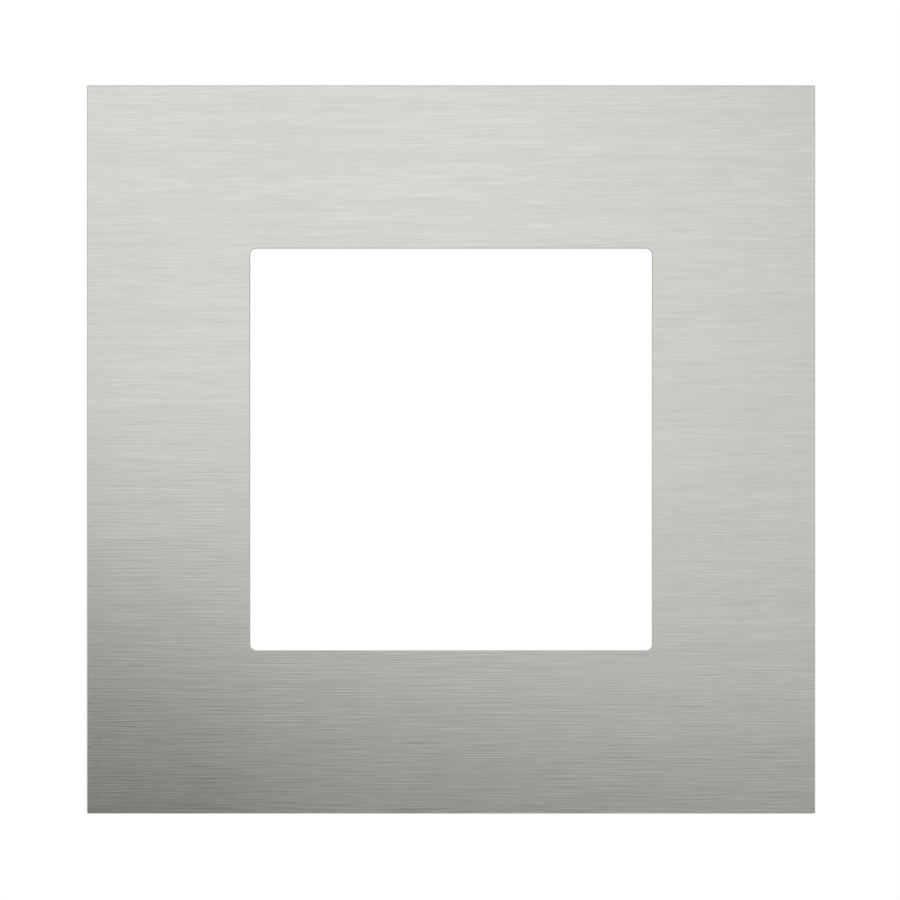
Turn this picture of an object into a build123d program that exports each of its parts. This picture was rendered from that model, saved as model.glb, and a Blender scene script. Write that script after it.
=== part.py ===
from build123d import *
from math import cos, radians, sin, sqrt
import os

# Surround frame for a wall switch: a flat brushed steel plate, taped to a moulded carrier
# that snaps over the support of a flush-mounted mechanism.
#
# Millimetres. The frame hangs upright as on a wall: X to the right, Z up and the front
# towards -Y. The wall is the plane Y = 0, and the origin is the centre of the opening on
# that plane. A height is a distance from the wall, towards the room.

# Square insert, such as a rocker or a socket, that the frame surrounds
insert_size = 45.0
insert_clearance = 0.125

# Square metal support of the mechanism, which lies on the wall inside the carrier
support_size = 71.0
support_clearance = 0.5
support_room = 2.4

# Whole frame, from the wall to the front of the plate
frame_depth = 9.0

# Front plate, which reaches past the support on every side and is 82 mm square
plate_overlap = 5.5
plate_thickness = 1.2
plate_corner_radius = 0.15
plate_edge_break = 0.08
opening_corner_radius = 0.7

# Adhesive tape, cut back from the carrier's edges
tape_thickness = 0.2
tape_margin = 1.0
tape_corner_radius = 1.5

# Carrier: how far it stands back behind the plate, and its walls
side_setback = 0.5
opening_setback = 0.4
carrier_corner_radius = 1.0
carrier_edge_break = 0.3
web_thickness = 1.6
skirt_wall = 1.5
skirt_inner_radius = 0.8
skirt_root_radius = 0.5
draft_angle = 1.0

# Collar around the opening
collar_wall = 1.3
collar_inner_radius = 1.1
collar_lead_in = 0.4

# Ribs between collar and skirt, with feet that stop short of the wall
rib_thickness = 0.9
rib_foot_gap = 0.6
rib_step_radius = 0.7
rib_foot_radius = 0.3
rib_offset = 22.5
rib_offset_middle = 7.5
rib_offset_screw_bay = 5.5

# Snap arms, two at each side, with saw teeth towards the skirt
arm_distance = 28.0
arm_spacing = 28.0
arm_width = 7.0
arm_root = 1.4
arm_taper = 0.25
arm_root_radius = 0.6
arm_tip_gap = 0.6
tooth_count = 4
tooth_pitch = 0.9
tooth_depth = 0.6
window_clearance = 0.3

# Notch in the lower skirt, where a blade lifts the frame off
notch_width = 9.0
notch_height = 1.4
notch_corner_radius = 0.5

# Round marks that the ejector pins leave in the back of the web
pin_mark_radius = 1.5
pin_mark_depth = 0.12
pin_mark_offset = 15.0
pin_mark_offset_corner = 27.0

# Sizes and heights that follow from those above
opening_size = insert_size + 2 * insert_clearance
plate_size = support_size + 2 * plate_overlap
carrier_front = frame_depth - plate_thickness - tape_thickness
carrier_size = plate_size - 2 * side_setback
carrier_opening = opening_size + 2 * opening_setback
web_back = carrier_front - web_thickness
web_middle = carrier_front - web_thickness / 2
edge_height = carrier_front - carrier_edge_break
cavity_size = carrier_size - 2 * skirt_wall
collar_size = carrier_opening + 2 * collar_wall
support_edge = support_size / 2 + support_clearance
window_depth = tooth_depth + window_clearance

# Ways out from the centre of the opening to the four sides
right, top, left, bottom = 0, 90, 180, 270


def at_height(height):
    """Plane parallel to the wall at a height, facing the room, with X right and Z up."""
    return Plane.XZ.offset(height)


def across_side(angle, offset):
    """Plane that stands on the wall and runs out from the opening's centre at an angle.

    Its local x is the distance from the centre and its local y is the height. The offset
    moves it sideways along the side of the frame.
    """
    outward = Vector(cos(radians(angle)), 0, sin(radians(angle)))
    sideways = Vector(sin(radians(angle)), 0, -cos(radians(angle)))
    return Plane(origin=sideways * offset, x_dir=outward, z_dir=sideways)


def square_ring(outer, outer_radius, inner, inner_radius):
    """Square with rounded corners, around a square opening, in the open sketch."""
    RectangleRounded(outer, outer, outer_radius)
    RectangleRounded(inner, inner, inner_radius, mode=Mode.SUBTRACT)


def rounded_face(points):
    """Closed face in the open sketch, from points of x, y and the radius of that corner."""
    with BuildLine() as outline:
        FilletPolyline(
            [(x, y) for x, y, radius in points],
            radius=[radius for x, y, radius in points],
            close=True,
        )
    make_face(outline.edges())


def stepped_rib(stretch):
    """Rib profile: clear of the support near the opening, with a foot beside the skirt.

    Stretch is 1 on the sides, and the diagonal of a unit square in the corners.
    """
    start = stretch * (collar_size - collar_wall) / 2
    step = stretch * support_edge
    end = stretch * (carrier_size - skirt_wall) / 2
    rounded_face(
        [
            (start, support_room, 0),
            (step, support_room, rib_step_radius),
            (step, rib_foot_gap, rib_foot_radius),
            (end, rib_foot_gap, 0),
            (end, web_back, 0),
            (start, web_back, 0),
        ]
    )


def toothed_arm():
    """Snap arm profile: a tapering blade, with saw teeth that catch the support's slot."""
    inner = arm_distance
    outer = arm_distance + arm_root
    points = [(inner + arm_taper, arm_tip_gap, 0), (outer, arm_tip_gap, 0)]
    for tooth in range(tooth_count):
        catch = arm_tip_gap + (tooth + 1) * tooth_pitch
        points += [(outer + tooth_depth, catch, 0), (outer, catch, 0)]
    points += [
        (outer, web_middle, 0),
        (inner - 2 * arm_root_radius, web_middle, 0),
        (inner - 2 * arm_root_radius, web_back, 0),
        (inner, web_back, arm_root_radius),
    ]
    rounded_face(points)


# Front plate: a flat blank, cut out and deburred along its front edges
with BuildPart() as front_plate:
    with BuildSketch(at_height(frame_depth - plate_thickness)):
        square_ring(plate_size, plate_corner_radius, opening_size, opening_corner_radius)
    extrude(amount=plate_thickness)
    chamfer(front_plate.faces().sort_by(Axis.Y)[0].edges(), plate_edge_break)

# Tape: die-cut sheet that fills the gap between plate and carrier
with BuildPart() as bonding_tape:
    with BuildSketch(at_height(carrier_front)):
        square_ring(
            carrier_size - 2 * tape_margin,
            tape_corner_radius,
            carrier_opening + 2 * tape_margin,
            tape_corner_radius,
        )
    extrude(amount=tape_thickness)

# Carrier: one moulding, drafted towards the wall so that it leaves the mould
with BuildPart() as carrier_frame:
    # Block of web and skirt, with its front edge broken, hollowed from the wall
    with BuildSketch(at_height(edge_height)):
        RectangleRounded(carrier_size, carrier_size, carrier_corner_radius)
    extrude(amount=-edge_height, taper=draft_angle)
    with BuildSketch(at_height(edge_height)):
        RectangleRounded(carrier_size, carrier_size, carrier_corner_radius)
    extrude(amount=carrier_edge_break, taper=45)
    with BuildSketch(at_height(web_back)):
        RectangleRounded(cavity_size, cavity_size, skirt_inner_radius)
    extrude(amount=-web_back, taper=-draft_angle, mode=Mode.SUBTRACT)
    back_of_web = carrier_frame.faces().filter_by(Axis.Y).sort_by(Axis.Y)[1]
    fillet(back_of_web.edges(), skirt_root_radius)

    # Collar that guides the insert
    with BuildSketch(at_height(web_back)):
        RectangleRounded(collar_size, collar_size, collar_inner_radius + collar_wall)
    extrude(amount=support_room - web_back, taper=draft_angle)

    # Ribs: two pairs on each side, and one rib in each corner. At the sides the inner
    # pair leaves a bay for the screw that holds the support.
    for angle, inner_offset in (
        (right, rib_offset_screw_bay),
        (top, rib_offset_middle),
        (left, rib_offset_screw_bay),
        (bottom, rib_offset_middle),
    ):
        for offset in (-rib_offset, -inner_offset, inner_offset, rib_offset):
            with BuildSketch(across_side(angle, offset)):
                stepped_rib(1)
            extrude(amount=rib_thickness / 2, both=True)
    for angle in (right, top, left, bottom):
        with BuildSketch(across_side(angle + 45, 0)):
            stepped_rib(sqrt(2))
        extrude(amount=rib_thickness / 2, both=True)

    # Opening through web and collar, flared where the frame goes over the mechanism
    with BuildSketch(at_height(0)):
        RectangleRounded(carrier_opening, carrier_opening, collar_inner_radius)
    extrude(amount=carrier_front, mode=Mode.SUBTRACT)
    flare_size = carrier_opening + 2 * collar_lead_in
    with BuildSketch(at_height(support_room)):
        RectangleRounded(flare_size, flare_size, collar_inner_radius + collar_lead_in)
    extrude(amount=collar_lead_in, taper=45, mode=Mode.SUBTRACT)

    # Snap arms, each beside a window in the web through which the mould forms its teeth
    for angle in (right, left):
        for offset in (-arm_spacing / 2, arm_spacing / 2):
            with BuildSketch(across_side(angle, offset)):
                toothed_arm()
            extrude(amount=arm_width / 2, both=True)
    window_middle = arm_distance + arm_root + window_depth / 2
    with BuildSketch(at_height(web_back)):
        with GridLocations(2 * window_middle, arm_spacing, 2, 2):
            Rectangle(window_depth, arm_width + 2 * window_clearance)
    extrude(amount=web_thickness, mode=Mode.SUBTRACT)

    # Notch in the lower skirt, open towards the wall
    with BuildSketch(Plane.XY.offset(-carrier_size / 2)):
        RectangleRounded(notch_width, 2 * notch_height, notch_corner_radius)
    extrude(amount=2 * skirt_wall, mode=Mode.SUBTRACT)

    # Ejector pin marks in the middle of the fields between the ribs
    ring_middle = (cavity_size + collar_size) / 4
    with BuildSketch(at_height(web_back)):
        with GridLocations(2 * ring_middle, 2 * pin_mark_offset_corner, 2, 2):
            Circle(pin_mark_radius)
        with GridLocations(2 * pin_mark_offset_corner, 2 * ring_middle, 2, 2):
            Circle(pin_mark_radius)
        with GridLocations(pin_mark_offset, 2 * ring_middle, 3, 2):
            Circle(pin_mark_radius)
        with GridLocations(2 * ring_middle, 0, 2, 1):
            Circle(pin_mark_radius)
    extrude(amount=pin_mark_depth, mode=Mode.SUBTRACT)

front_plate.part.label = "front_plate"
bonding_tape.part.label = "bonding_tape"
carrier_frame.part.label = "carrier_frame"

os.makedirs("parts", exist_ok=True)
export_step(front_plate.part, "parts/front_plate.step")
export_step(bonding_tape.part, "parts/bonding_tape.step")
export_step(carrier_frame.part, "parts/carrier_frame.step")
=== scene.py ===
"""Looks of a surround frame for a wall switch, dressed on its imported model.

The frame hangs upright as on a wall: X to the right, Z up and the brushed front towards
-Y. The wall side lies at Y = 0, and the origin is the centre of the square opening. All
sizes are in metres, and a size written as a number of millimetres is multiplied by MM.
"""

import logging
import math
from dataclasses import dataclass
from enum import Enum

import bmesh
import bpy
from mathutils import Matrix, Vector


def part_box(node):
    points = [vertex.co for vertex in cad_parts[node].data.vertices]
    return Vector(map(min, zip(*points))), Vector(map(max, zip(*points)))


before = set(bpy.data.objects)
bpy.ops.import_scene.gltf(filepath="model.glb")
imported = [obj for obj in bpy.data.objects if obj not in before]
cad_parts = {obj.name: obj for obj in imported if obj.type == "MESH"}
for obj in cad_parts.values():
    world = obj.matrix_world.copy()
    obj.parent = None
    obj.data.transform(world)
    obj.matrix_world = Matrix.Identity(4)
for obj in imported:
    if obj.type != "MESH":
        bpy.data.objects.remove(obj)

MM = 0.001
WHITE = (1.0, 1.0, 1.0, 1.0)
BLACK = (0.0, 0.0, 0.0, 1.0)
RIGHT_ANGLE = math.radians(90)

log = logging.getLogger("surround_frame")


class GrainDirection(Enum):
    """The axis that a brushed grain runs along, and the axis across it."""

    LEVEL = ("X", "Z")
    UPRIGHT = ("Z", "X")


class Gloss(Enum):
    """Roughness that a moulding takes from the finish of its mould."""

    POLISHED = 0.22
    SATIN = 0.38
    SPARK_ERODED = 0.5


class Blend(Enum):
    """What a Mix node blends: its type, its first input and its output."""

    NUMBER = ("FLOAT", 2, 0)
    COLOUR = ("RGBA", 6, 2)


@dataclass
class Wiring:
    """A node tree, with short calls that add nodes and join them.

    Attributes:
        tree: The tree that the nodes are added to.
    """

    tree: bpy.types.NodeTree

    def put(self, socket: bpy.types.NodeSocket, value: object) -> None:
        """Sets an input, or joins it where the value is an output socket.

        Args:
            socket: The input.
            value: A number, a colour, a vector or an output socket.
        """
        if isinstance(value, bpy.types.NodeSocket):
            self.tree.links.new(value, socket)
        else:
            socket.default_value = value

    def add(self, kind: str, **settings: object) -> bpy.types.Node:
        """Adds a node.

        Args:
            kind: The node's type name in Blender.
            settings: Attributes of the node, by name.

        Returns:
            The new node.
        """
        node = self.tree.nodes.new(kind)
        for name, value in settings.items():
            setattr(node, name, value)
        return node

    def feed(self, node: bpy.types.Node, **values: object) -> bpy.types.Node:
        """Sets or joins a node's inputs.

        Args:
            node: The node whose inputs are fed.
            values: Numbers, colours or output sockets, by the input's name with
                underscores for its spaces.

        Returns:
            The same node.
        """
        for name, value in values.items():
            self.put(node.inputs[name.replace("_", " ")], value)
        return node

    def effect(self, group: bpy.types.NodeTree, **values: object) -> bpy.types.NodeSocket:
        """Adds a node group, with its inputs given as in feed, and returns its first output."""
        return self.feed(self.add("ShaderNodeGroup", node_tree=group), **values).outputs[0]

    def axes(self, vector: bpy.types.NodeSocket) -> bpy.types.NodeOutputs:
        """Splits a vector into outputs X, Y and Z."""
        return self.feed(self.add("ShaderNodeSeparateXYZ"), Vector=vector).outputs

    def calculate(self, operation: str, *terms: object) -> bpy.types.NodeSocket:
        """Adds a Math node.

        Args:
            operation: The node's operation, such as MULTIPLY.
            terms: Numbers or output sockets, in the order of its inputs.

        Returns:
            The result's socket.
        """
        node = self.add("ShaderNodeMath", operation=operation)
        for socket, term in zip(node.inputs, terms):
            self.put(socket, term)
        return node.outputs[0]

    def remap(self, value: bpy.types.NodeSocket, low: float, high: float,
              to_low: float = 0.0, to_high: float = 1.0, smooth: bool = False) -> bpy.types.NodeSocket:
        """Adds a Map Range node.

        Args:
            value: The value to map.
            low: The value that becomes to_low.
            high: The value that becomes to_high.
            to_low: The result at low and beyond.
            to_high: The result at high and beyond.
            smooth: Whether the result leaves both ends gently.

        Returns:
            The result's socket.
        """
        kind = "SMOOTHSTEP" if smooth else "LINEAR"
        node = self.add("ShaderNodeMapRange", interpolation_type=kind, clamp=True)
        self.feed(node, Value=value, From_Min=low, From_Max=high, To_Min=to_low, To_Max=to_high)
        return node.outputs["Result"]

    def blend(self, kind: Blend, share: bpy.types.NodeSocket, first: object,
              second: object) -> bpy.types.NodeSocket:
        """Adds a Mix node.

        Args:
            kind: What is blended.
            share: 0 for the first value and 1 for the second.
            first: A number, a colour of four numbers or an output socket.
            second: The same for the other end.

        Returns:
            The result's socket.
        """
        data_type, start, result = kind.value
        node = self.add("ShaderNodeMix", data_type=data_type)
        self.put(node.inputs[0], share)
        self.put(node.inputs[start], first)
        self.put(node.inputs[start + 1], second)
        return node.outputs[result]

    def thin_out(self, share: bpy.types.NodeSocket, shader: bpy.types.NodeSocket) -> bpy.types.NodeSocket:
        """Lets a shader pass into a clear one.

        Args:
            share: 0 for the shader and 1 for clear.
            shader: The shader's socket.

        Returns:
            The mixed shader's socket.
        """
        mix = self.feed(self.add("ShaderNodeMixShader"), Fac=share)
        self.put(mix.inputs[1], shader)
        self.put(mix.inputs[2], self.add("ShaderNodeBsdfTransparent").outputs[0])
        return mix.outputs[0]


def opaque(colour: tuple[float, ...], share: float = 1.0) -> tuple[float, ...]:
    """Adds the fourth number that a socket takes to a colour, dimmed to a share of itself."""
    return (*(share * part for part in colour), 1.0)


def bare_material(name: str) -> tuple[bpy.types.Material, Wiring]:
    """Makes a material without nodes.

    Args:
        name: The material's name.

    Returns:
        The material and its wiring.
    """
    material = bpy.data.materials.new(name)
    material.use_nodes = True
    material.node_tree.nodes.clear()
    return material, Wiring(material.node_tree)


def make_object(name: str, shape: bmesh.types.BMesh, material: bpy.types.Material) -> bpy.types.Object:
    """Turns a bmesh into an object of the scene.

    Args:
        name: The object's name.
        shape: The bmesh, which is freed.
        material: The object's material.

    Returns:
        The object.
    """
    mesh = bpy.data.meshes.new(name)
    shape.to_mesh(mesh)
    shape.free()
    mesh.materials.append(material)
    piece = bpy.data.objects.new(name, mesh)
    bpy.context.scene.collection.objects.link(piece)
    return piece


@dataclass(frozen=True)
class Effect:
    """A shader node group with a vector input and one output.

    Attributes:
        name: The group's name.
    """

    name: str

    def start(self, output: str, **inputs: float) -> tuple[Wiring, bpy.types.Node, bpy.types.Node]:
        """Makes the group with its sockets.

        Args:
            output: Name of the output.
            inputs: Values at first of the number inputs, by name.

        Returns:
            The group's wiring, its input node and its output node.
        """
        group = bpy.data.node_groups.new(self.name, "ShaderNodeTree")
        group.interface.new_socket("Vector", in_out="INPUT", socket_type="NodeSocketVector")
        for name, value in inputs.items():
            socket = group.interface.new_socket(name, in_out="INPUT", socket_type="NodeSocketFloat")
            socket.default_value = value
        group.interface.new_socket(output, in_out="OUTPUT", socket_type="NodeSocketFloat")
        wiring = Wiring(group)
        return wiring, wiring.add("NodeGroupInput"), wiring.add("NodeGroupOutput")


@dataclass(frozen=True)
class BrushStreaks(Effect):
    """Straight thin streaks, as a brushing belt leaves them.

    Each row across the grain holds its own streaks, and rows are of uneven width.

    Attributes:
        name: The group's name.
        wander: How often the width of the rows changes, per row.
        stray: How many rows a row may lie off its even place.
        row_shift: How far the streaks of the rows lie apart in the noise.
    """

    name: str = "brush_streaks"
    wander: float = 0.17
    stray: float = 3.0
    row_shift: float = 977.0

    def build(self) -> bpy.types.NodeTree:
        """Builds the group.

        Returns:
            A group that puts out Streak, from 0 to 1 around a half, for a vector in metres
            whose X runs along the grain and whose Y runs across it.
        """
        wiring, start, end = self.start("Streak", Length=4 * MM, Thickness=0.1 * MM, Seed=0.0, Contrast=1.0)
        place = wiring.axes(start.outputs["Vector"])
        rows = wiring.calculate("DIVIDE", place["Y"], start.outputs["Thickness"])
        uneven = wiring.add("ShaderNodeTexNoise", noise_dimensions="1D")
        wiring.feed(uneven, W=rows, Scale=self.wander, Detail=0.0)
        strayed = wiring.calculate("MULTIPLY_ADD", uneven.outputs["Fac"], self.stray, rows)
        draw = wiring.add("ShaderNodeTexWhiteNoise", noise_dimensions="1D")
        row = wiring.calculate("FLOOR", strayed)
        wiring.feed(draw, W=wiring.calculate("ADD", row, start.outputs["Seed"]))
        along = wiring.calculate("DIVIDE", place["X"], start.outputs["Length"])
        streak = wiring.add("ShaderNodeTexNoise", noise_dimensions="1D")
        shifted = wiring.calculate("MULTIPLY_ADD", draw.outputs["Value"], self.row_shift, along)
        wiring.feed(streak, W=shifted, Scale=1.0, Detail=1.0, Roughness=0.5)
        centred = wiring.calculate("SUBTRACT", streak.outputs["Fac"], 0.5)
        value = wiring.calculate("MULTIPLY_ADD", centred, start.outputs["Contrast"], 0.5)
        wiring.feed(end, Streak=wiring.remap(value, 0.0, 1.0))
        return wiring.tree


@dataclass(frozen=True)
class SoftClouds(Effect):
    """Soft uneven patches, such as a faint haze, a change of tone or a fine texture.

    Attributes:
        name: The group's name.
        span: Values of the noise that become 0 and 1.
    """

    name: str = "soft_clouds"
    span: tuple[float, float] = (0.3, 0.7)

    def build(self) -> bpy.types.NodeTree:
        """Builds the group.

        Returns:
            A group that puts out Cloud, from 0 to 1, for a size given in metres.
        """
        wiring, start, end = self.start("Cloud", Size=20 * MM, Detail=2.0)
        scale = wiring.calculate("DIVIDE", 1.0, start.outputs["Size"])
        noise = wiring.add("ShaderNodeTexNoise", noise_dimensions="3D")
        wiring.feed(noise, Vector=start.outputs["Vector"], Scale=scale, Detail=start.outputs["Detail"],
                    Roughness=0.5, Distortion=0.0)
        wiring.feed(end, Cloud=wiring.remap(noise.outputs["Fac"], *self.span, smooth=True))
        return wiring.tree


@dataclass(frozen=True)
class Finish:
    """What every finish has: its name and a start of its node tree.

    Attributes:
        name: The material's name.
    """

    name: str

    def begin(self) -> tuple[bpy.types.Material, Wiring, bpy.types.Node, bpy.types.NodeSocket]:
        """Makes the material with its shader.

        Returns:
            The material, its wiring, its Principled shader and the object coordinates.
        """
        material, wiring = bare_material(self.name)
        shader = wiring.add("ShaderNodeBsdfPrincipled")
        wiring.feed(wiring.add("ShaderNodeOutputMaterial"), Surface=shader.outputs["BSDF"])
        return material, wiring, shader, wiring.add("ShaderNodeTexCoord").outputs["Object"]


@dataclass(frozen=True)
class BrushedSteel(Finish):
    """Stainless steel sheet with a straight fine grain.

    Attributes:
        direction: The way that the grain runs.
        tone: Mean colour of the metal.
        cut_tone_and_edge_shade: Colour of its cut edges, which the brush doesn't reach. Its
        darkness is partly the edges' own unbrushed finish and partly painted shade along them.
        cut_facing: How far a surface faces the front where it counts as cut and where it
            counts as brushed, as cosines.
        fine_size: Length and thickness of the finest streaks.
        long_size: Length and thickness of the longer strokes.
        band_size: Length and thickness of the faint bands that the belt leaves.
        ridge_size: Length and thickness of the ridges between the strokes.
        contrast: How strongly the streaks stand out before their share is taken.
        seed_step: How far the layers of streaks lie apart in the noise.
        spread: How far streaks move the colour away from the mean, as shares for the
            fine streaks, the strokes and the bands.
        haze_size: Size of the patches that are a little duller.
        roughness: Lowest and highest roughness.
        cut_roughness: Roughness of the cut edges.
        depth: Height between the bottoms and the ridges of the grain.
        anisotropy: How much further the gloss spreads across the grain than along it.
        spread_turn: How far that spread is turned, in whole turns.
    """

    direction: GrainDirection = GrainDirection.LEVEL
    tone: tuple[float, float, float] = (0.70, 0.69, 0.659)
    # Darker than the brushed face: partly the cut edges' own finish, partly painted shade along the edges.
    cut_tone_and_edge_shade: tuple[float, float, float] = (0.5, 0.49, 0.465)
    cut_facing: tuple[float, float] = (0.74, 0.95)
    fine_size: tuple[float, float] = (5.5 * MM, 0.1 * MM)
    long_size: tuple[float, float] = (26.0 * MM, 0.13 * MM)
    band_size: tuple[float, float] = (90.0 * MM, 1.4 * MM)
    ridge_size: tuple[float, float] = (8.0 * MM, 0.09 * MM)
    contrast: float = 2.0
    seed_step: float = 7919.0
    spread: tuple[float, float, float] = (0.11, 0.07, 0.022)
    haze_size: float = 24 * MM
    roughness: tuple[float, float] = (0.29, 0.36)
    cut_roughness: float = 0.42
    depth: float = 0.0052 * MM
    anisotropy: float = 0.6
    spread_turn: float = 0.25

    def grain(self, wiring: Wiring, place: bpy.types.NodeSocket, streaks: bpy.types.NodeTree,
              clouds: bpy.types.NodeTree) -> list[bpy.types.NodeSocket]:
        """Lays the grain's layers.

        Args:
            wiring: The material's wiring.
            place: The object coordinates.
            streaks: The group of brush streaks.
            clouds: The group of soft patches.

        Returns:
            The fine streaks, the longer strokes, the faint bands and the height of the
            ridges, each from 0 to 1.
        """
        axes = wiring.axes(place)
        along, across = (axes[axis] for axis in self.direction.value)
        turned = wiring.feed(wiring.add("ShaderNodeCombineXYZ"), X=along, Y=across).outputs["Vector"]
        layers = []
        for layer, (length, thickness) in enumerate((self.fine_size, self.long_size)):
            layers.append(wiring.effect(streaks, Vector=turned, Length=length, Thickness=thickness,
                                        Seed=self.seed_step * layer, Contrast=self.contrast))
        for length, thickness in (self.band_size, self.ridge_size):
            mapping = wiring.add("ShaderNodeMapping", vector_type="POINT")
            wiring.feed(mapping, Vector=turned, Scale=(1.0 / length, 1.0 / thickness, 1.0))
            layers.append(wiring.effect(clouds, Vector=mapping.outputs["Vector"], Size=1.0, Detail=0.0))
        return layers

    def shade(self, wiring: Wiring, layers: list[bpy.types.NodeSocket]) -> bpy.types.NodeSocket:
        """Colours the brushed surface.

        Args:
            wiring: The material's wiring.
            layers: The layers of the grain that the colour shows.

        Returns:
            The colour's socket.
        """
        share = 1.0 - sum(self.spread) / 2
        for layer, spread in zip(layers, self.spread):
            share = wiring.calculate("ADD", wiring.calculate("MULTIPLY", layer, spread), share)
        colour = wiring.add("ShaderNodeVectorMath", operation="SCALE")
        return wiring.feed(colour, Vector=self.tone, Scale=share).outputs["Vector"]

    def cut(self, wiring: Wiring) -> bpy.types.NodeSocket:
        """Masks the cut edges: 1 where the surface doesn't face the front or the back."""
        facing = wiring.axes(wiring.add("ShaderNodeTexCoord").outputs["Normal"])["Y"]
        return wiring.remap(wiring.calculate("ABSOLUTE", facing), *self.cut_facing, 1.0, 0.0)

    def material(self, streaks: bpy.types.NodeTree, clouds: bpy.types.NodeTree) -> bpy.types.Material:
        """Builds the material.

        Args:
            streaks: The group of brush streaks.
            clouds: The group of soft patches.

        Returns:
            The brushed steel.
        """
        material, wiring, shader, place = self.begin()
        *layers, ridges = self.grain(wiring, place, streaks, clouds)
        tone = self.shade(wiring, layers)
        haze = wiring.effect(clouds, Vector=place, Size=self.haze_size, Detail=2.0)
        dull = wiring.calculate("MULTIPLY", wiring.calculate("ADD", layers[0], haze), 0.5)
        brushed = wiring.remap(dull, 0.0, 1.0, *self.roughness)
        cut = self.cut(wiring)
        bump = wiring.feed(wiring.add("ShaderNodeBump"), Strength=1.0, Distance=self.depth, Height=ridges)
        # The cut edges take the darker cut colour: partly their own finish, partly painted shade along the
        # edges.
        wiring.feed(shader, Metallic=1.0, Anisotropic=self.anisotropy,
                    Anisotropic_Rotation=self.spread_turn,
                    Base_Color=wiring.blend(Blend.COLOUR, cut, tone, opaque(self.cut_tone_and_edge_shade)),
                    Roughness=wiring.blend(Blend.NUMBER, cut, brushed, self.cut_roughness),
                    Normal=bump.outputs["Normal"])
        return material


@dataclass(frozen=True)
class MouldedPlastic(Finish):
    """Unpainted moulded plastic with the fine texture of its mould.

    Attributes:
        tone: Colour at its lightest.
        darkest: The darkest patches, as a share of that colour.
        gloss: The mould's finish.
        gloss_spread: How far patches move the roughness up and down.
        texture_size: Size of the texture's grains.
        texture_depth: Height of the texture.
        flow_size: Size of the faint patches that the flow into the mould leaves.
        flow_share: Share of the flow in the patches, with the texture as the rest.
        edge_radius: Radius that the mould leaves on its sharp edges.
        edge_samples: How finely that radius is worked out.
    """

    tone: tuple[float, float, float] = (0.80, 0.795, 0.765)
    darkest: float = 0.965
    gloss: Gloss = Gloss.SATIN
    gloss_spread: float = 0.05
    texture_size: float = 0.35 * MM
    texture_depth: float = 0.006 * MM
    flow_size: float = 14 * MM
    flow_share: float = 0.7
    edge_radius: float = 0.15 * MM
    edge_samples: int = 6

    def material(self, clouds: bpy.types.NodeTree) -> bpy.types.Material:
        """Builds the material.

        Args:
            clouds: The group of soft patches.

        Returns:
            The plastic.
        """
        material, wiring, shader, place = self.begin()
        texture = wiring.effect(clouds, Vector=place, Size=self.texture_size, Detail=3.0)
        flow = wiring.effect(clouds, Vector=place, Size=self.flow_size, Detail=1.0)
        patches = wiring.calculate("ADD", wiring.calculate("MULTIPLY", texture, 1.0 - self.flow_share),
                                   wiring.calculate("MULTIPLY", flow, self.flow_share))
        edges = wiring.add("ShaderNodeBevel", samples=self.edge_samples)
        wiring.feed(edges, Radius=self.edge_radius)
        bump = wiring.feed(wiring.add("ShaderNodeBump"), Strength=1.0, Distance=self.texture_depth,
                           Height=texture, Normal=edges.outputs["Normal"])
        dull, bright = self.gloss.value + self.gloss_spread, self.gloss.value - self.gloss_spread
        wiring.feed(shader, Roughness=wiring.remap(patches, 0.0, 1.0, dull, bright),
                    Base_Color=wiring.blend(Blend.COLOUR, patches, opaque(self.tone, self.darkest),
                                            opaque(self.tone)),
                    Normal=bump.outputs["Normal"])
        return material


@dataclass(frozen=True)
class AdhesiveFilm(Finish):
    """Translucent double-sided tape.

    Attributes:
        tone: Colour at its lightest.
        darkest: The darkest fibres, as a share of that colour.
        fibre_size: Size of the clots of fibre in the tape.
        fibre_depth: Height of those clots.
        roughness: Highest and lowest roughness.
    """

    tone: tuple[float, float, float] = (0.72, 0.71, 0.67)
    darkest: float = 0.9
    fibre_size: float = 0.9 * MM
    fibre_depth: float = 0.01 * MM
    roughness: tuple[float, float] = (0.65, 0.5)

    def material(self, clouds: bpy.types.NodeTree) -> bpy.types.Material:
        """Builds the material.

        Args:
            clouds: The group of soft patches.

        Returns:
            The tape.
        """
        material, wiring, shader, place = self.begin()
        fibres = wiring.effect(clouds, Vector=place, Size=self.fibre_size, Detail=4.0)
        bump = wiring.feed(wiring.add("ShaderNodeBump"), Strength=1.0, Distance=self.fibre_depth,
                           Height=fibres)
        wiring.feed(shader, Roughness=wiring.remap(fibres, 0.0, 1.0, *self.roughness),
                    Base_Color=wiring.blend(Blend.COLOUR, fibres, opaque(self.tone, self.darkest),
                                            opaque(self.tone)),
                    Normal=bump.outputs["Normal"])
        return material


def dress(node: str, material: bpy.types.Material) -> None:
    """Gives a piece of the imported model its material.

    Args:
        node: The piece's name.
        material: The material for its whole surface.
    """
    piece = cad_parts[node]
    piece.data.materials.clear()
    piece.data.materials.append(material)
    low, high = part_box(node)
    size = " x ".join(f"{side / MM:.1f}" for side in high - low)
    log.info("%s: %s mm, %s", node, size, material.name)


@dataclass
class SteelFront:
    """The flat plate that is seen from the room.

    Attributes:
        finish: The plate's finish.
    """

    finish: BrushedSteel = BrushedSteel("level_brushed_steel")

    def build(self, streaks: bpy.types.NodeTree, clouds: bpy.types.NodeTree) -> None:
        """Dresses the plate."""
        dress("front_plate", self.finish.material(streaks, clouds))


@dataclass
class TapedCarrier:
    """The moulded carrier behind the plate, and the tape between them.

    Attributes:
        moulding: The carrier's finish.
        film: The tape's finish.
    """

    moulding: MouldedPlastic = MouldedPlastic("satin_white_moulding")
    film: AdhesiveFilm = AdhesiveFilm("adhesive_film")

    def build(self, clouds: bpy.types.NodeTree) -> None:
        """Dresses the carrier and the tape."""
        dress("carrier_frame", self.moulding.material(clouds))
        dress("bonding_tape", self.film.material(clouds))


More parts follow.
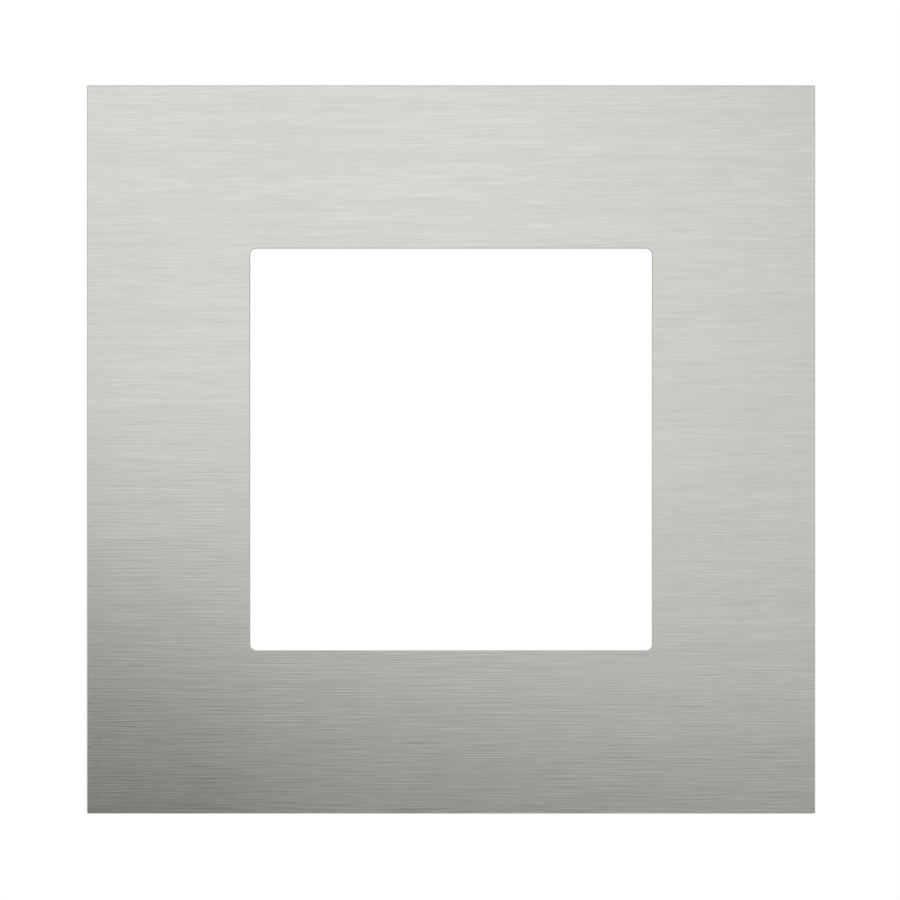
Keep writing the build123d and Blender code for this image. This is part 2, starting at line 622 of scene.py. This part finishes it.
@dataclass
class GradedCard:
    """Dark card that only reflections show, which shades the metal as in the photograph.

    Attributes:
        distance: Distance from the wall plane to the card, towards the room.
        width: Width of the card.
        height: Height of the card.
        fall: Heights between which the card passes from clear to dark.
        tilt: Rise of those heights towards the left, as a slope.
        dark: How dark the lower part is.
        corner: Distances along the diagonal to the lower left, for a darker corner.
        corner_dark: How much darker that corner is.
        side: Distances to the right, for a faintly darker side.
        side_dark: How dark that side is.
    """

    distance: float = 87 * MM
    width: float = 280 * MM
    height: float = 240 * MM
    fall: tuple[float, float] = (-5 * MM, -56 * MM)
    tilt: float = 0.2
    dark: float = 0.875
    corner: tuple[float, float] = (41 * MM, 60 * MM)
    corner_dark: float = 0.64
    side: tuple[float, float] = (-7 * MM, 160 * MM)
    side_dark: float = 0.64

    def build(self) -> None:
        """Makes the card."""
        shape = bmesh.new()
        bmesh.ops.create_grid(shape, x_segments=1, y_segments=1, size=0.5)
        bmesh.ops.scale(shape, verts=shape.verts, vec=(self.width, self.height, 1))
        upright = Matrix.Rotation(RIGHT_ANGLE, 3, "X")
        bmesh.ops.rotate(shape, verts=shape.verts, cent=(0, 0, 0), matrix=upright)
        bmesh.ops.translate(shape, verts=shape.verts, vec=(0, -self.distance, 0))
        card = make_object("graded_card", shape, self.shade())
        card.visible_camera = False
        card.visible_diffuse = False
        card.visible_transmission = False
        card.visible_shadow = False

    def shade(self) -> bpy.types.Material:
        """Builds the card's material.

        Returns:
            A material that passes from clear to black.
        """
        material, wiring = bare_material("graded_card")
        place = wiring.axes(wiring.add("ShaderNodeTexCoord").outputs["Object"])
        across, up = place["X"], place["Z"]
        diagonal = wiring.calculate("MULTIPLY", wiring.calculate("ADD", across, up), -math.sqrt(0.5))
        slanted = wiring.calculate("ADD", up, wiring.calculate("MULTIPLY", across, self.tilt))
        clear = 1.0
        for value, span, dark in (
            (slanted, self.fall, self.dark),
            (diagonal, self.corner, self.corner_dark),
            (across, self.side, self.side_dark),
        ):
            passed = wiring.remap(value, *span, 1.0, 1.0 - dark, smooth=True)
            clear = wiring.calculate("MULTIPLY", clear, passed)
        black = wiring.feed(wiring.add("ShaderNodeBsdfDiffuse"), Color=BLACK)
        surface = wiring.thin_out(clear, black.outputs[0])
        wiring.feed(wiring.add("ShaderNodeOutputMaterial"), Surface=surface)
        return material


@dataclass(frozen=True)
class Lamp:
    """Square soft lamp that shines at the origin, and that neither the camera nor a reflection shows.

    Attributes:
        name: The lamp's name.
        place: Its centre.
        size: Length of its sides.
        power: Its power, in watts.
    """

    name: str
    place: tuple[float, float, float]
    size: float
    power: float

    def build(self) -> None:
        """Makes the lamp."""
        light = bpy.data.lights.new(self.name, "AREA")
        light.shape = "SQUARE"
        light.size = self.size
        light.energy = self.power
        lamp = bpy.data.objects.new(self.name, light)
        lamp.location = self.place
        lamp.visible_camera = False
        lamp.visible_glossy = False
        lamp.rotation_euler = (-Vector(self.place)).to_track_quat("-Z", "Y").to_euler()
        bpy.context.scene.collection.objects.link(lamp)


@dataclass
class Studio:
    """Floor, world, lamps and camera.

    Attributes:
        floor_drop: Height of the origin above the floor.
        floor_radius: Radius of the round floor.
        floor_sides: Number of straight sides that make it round.
        floor_fade: Radii between which the floor passes into the white surroundings.
        floor_tone: Grey of the floor's paint.
        floor_lift: Glow that brings what is seen of the floor close to white.
        ambient: Strength of the white surroundings on matt surfaces.
        key: Lamp from the upper left.
        fill: Lamp from the right.
        rear: Lamp behind the frame.
        lens: Focal length of the camera, in millimetres.
        sensor: Width of its sensor, in millimetres.
        reach: Nearest and furthest distance that the camera sees.
        picture: Width and height of the picture, in pixels.
        plate_pixels: Width of the plate in the picture.
        plate_centre: Centre of the plate in the picture, from the top left.
    """

    floor_drop: float = 100 * MM
    floor_radius: float = 950 * MM
    floor_sides: int = 96
    floor_fade: tuple[float, float] = (300 * MM, 850 * MM)
    floor_tone: float = 0.82
    floor_lift: float = 0.2
    ambient: float = 0.4
    key: Lamp = Lamp("key_lamp", (-0.55, -0.75, 0.75), 0.6, 7.0)
    fill: Lamp = Lamp("fill_lamp", (0.8, -0.5, 0.25), 1.0, 4.2)
    rear: Lamp = Lamp("rear_lamp", (-0.1, 0.95, 0.35), 1.0, 6.0)
    lens: float = 400.0
    sensor: float = 36.0
    reach: tuple[float, float] = (0.01, 20.0)
    picture: int = 900
    plate_pixels: float = 728.4
    plate_centre: tuple[float, float] = (451.1, 449.5)

    def build(self) -> None:
        """Makes everything around the object."""
        GradedCard().build()
        self.world()
        self.floor()
        for lamp in (self.key, self.fill, self.rear):
            lamp.build()
        self.camera()

    def seen(self, wiring: Wiring) -> bpy.types.NodeSocket:
        """Mask that is 1 for what the camera sees, also in a reflection or through glass.

        Args:
            wiring: The wiring of the material or world.

        Returns:
            The mask's socket.
        """
        path = wiring.add("ShaderNodeLightPath")
        mask = wiring.calculate("MAXIMUM", path.outputs["Is Camera Ray"], path.outputs["Is Glossy Ray"])
        return wiring.calculate("MAXIMUM", mask, path.outputs["Is Transmission Ray"])

    def world(self) -> None:
        """Makes the white surroundings."""
        world = bpy.data.worlds.new("white_surroundings")
        bpy.context.scene.world = world
        world.use_nodes = True
        world.cycles.sampling_method = "NONE"
        world.node_tree.nodes.clear()
        wiring = Wiring(world.node_tree)
        strength = wiring.remap(self.seen(wiring), 0.0, 1.0, self.ambient, 1.0)
        background = wiring.feed(wiring.add("ShaderNodeBackground"), Color=WHITE, Strength=strength)
        wiring.feed(wiring.add("ShaderNodeOutputWorld"), Surface=background.outputs["Background"])

    def floor(self) -> None:
        """Makes the pale floor."""
        shape = bmesh.new()
        bmesh.ops.create_circle(shape, cap_ends=True, segments=self.floor_sides, radius=self.floor_radius)
        bmesh.ops.translate(shape, verts=shape.verts, vec=(0, 0, -self.floor_drop))
        floor = make_object("pale_floor", shape, self.floor_paint())

    def floor_paint(self) -> bpy.types.Material:
        """Builds the floor's material.

        Returns:
            A pale paint, clear towards the rim and from below so that it hides nothing.
        """
        material, wiring = bare_material("pale_floor")
        tone = (self.floor_tone, self.floor_tone, self.floor_tone)
        paint = wiring.feed(wiring.add("ShaderNodeBsdfDiffuse"), Color=opaque(tone))
        glow = wiring.calculate("MULTIPLY", self.seen(wiring), self.floor_lift)
        lift = wiring.feed(wiring.add("ShaderNodeEmission"), Color=WHITE, Strength=glow)
        both = wiring.add("ShaderNodeAddShader")
        wiring.put(both.inputs[0], paint.outputs[0])
        wiring.put(both.inputs[1], lift.outputs[0])
        radius = wiring.add("ShaderNodeVectorMath", operation="LENGTH")
        wiring.feed(radius, Vector=wiring.add("ShaderNodeTexCoord").outputs["Object"])
        faded = wiring.remap(radius.outputs["Value"], *self.floor_fade, smooth=True)
        below = wiring.add("ShaderNodeNewGeometry").outputs["Backfacing"]
        surface = wiring.thin_out(wiring.calculate("MAXIMUM", faded, below), both.outputs[0])
        wiring.feed(wiring.add("ShaderNodeOutputMaterial"), Surface=surface)
        return material

    def camera(self) -> None:
        """Makes the camera, square on to the plate and far off."""
        low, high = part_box("front_plate")
        per_pixel = (high.x - low.x) / self.plate_pixels
        distance = self.lens * self.picture * per_pixel / self.sensor
        data = bpy.data.cameras.new("catalogue_camera")
        data.lens = self.lens
        data.sensor_width = self.sensor
        data.clip_start, data.clip_end = self.reach
        camera = bpy.data.objects.new("catalogue_camera", data)
        right = self.plate_centre[0] - self.picture / 2
        down = self.plate_centre[1] - self.picture / 2
        camera.location = (-right * per_pixel, low.y - distance, down * per_pixel)
        camera.rotation_euler = (RIGHT_ANGLE, 0, 0)
        bpy.context.scene.collection.objects.link(camera)
        bpy.context.scene.camera = camera


def main() -> None:
    """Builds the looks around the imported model."""
    logging.basicConfig(level=logging.INFO, format="%(name)s: %(message)s")
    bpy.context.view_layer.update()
    bpy.context.scene.view_settings.view_transform = "Standard"
    streaks = BrushStreaks().build()
    clouds = SoftClouds().build()
    SteelFront().build(streaks, clouds)
    TapedCarrier().build(clouds)
    Studio().build()


if __name__ == "__main__":
    main()
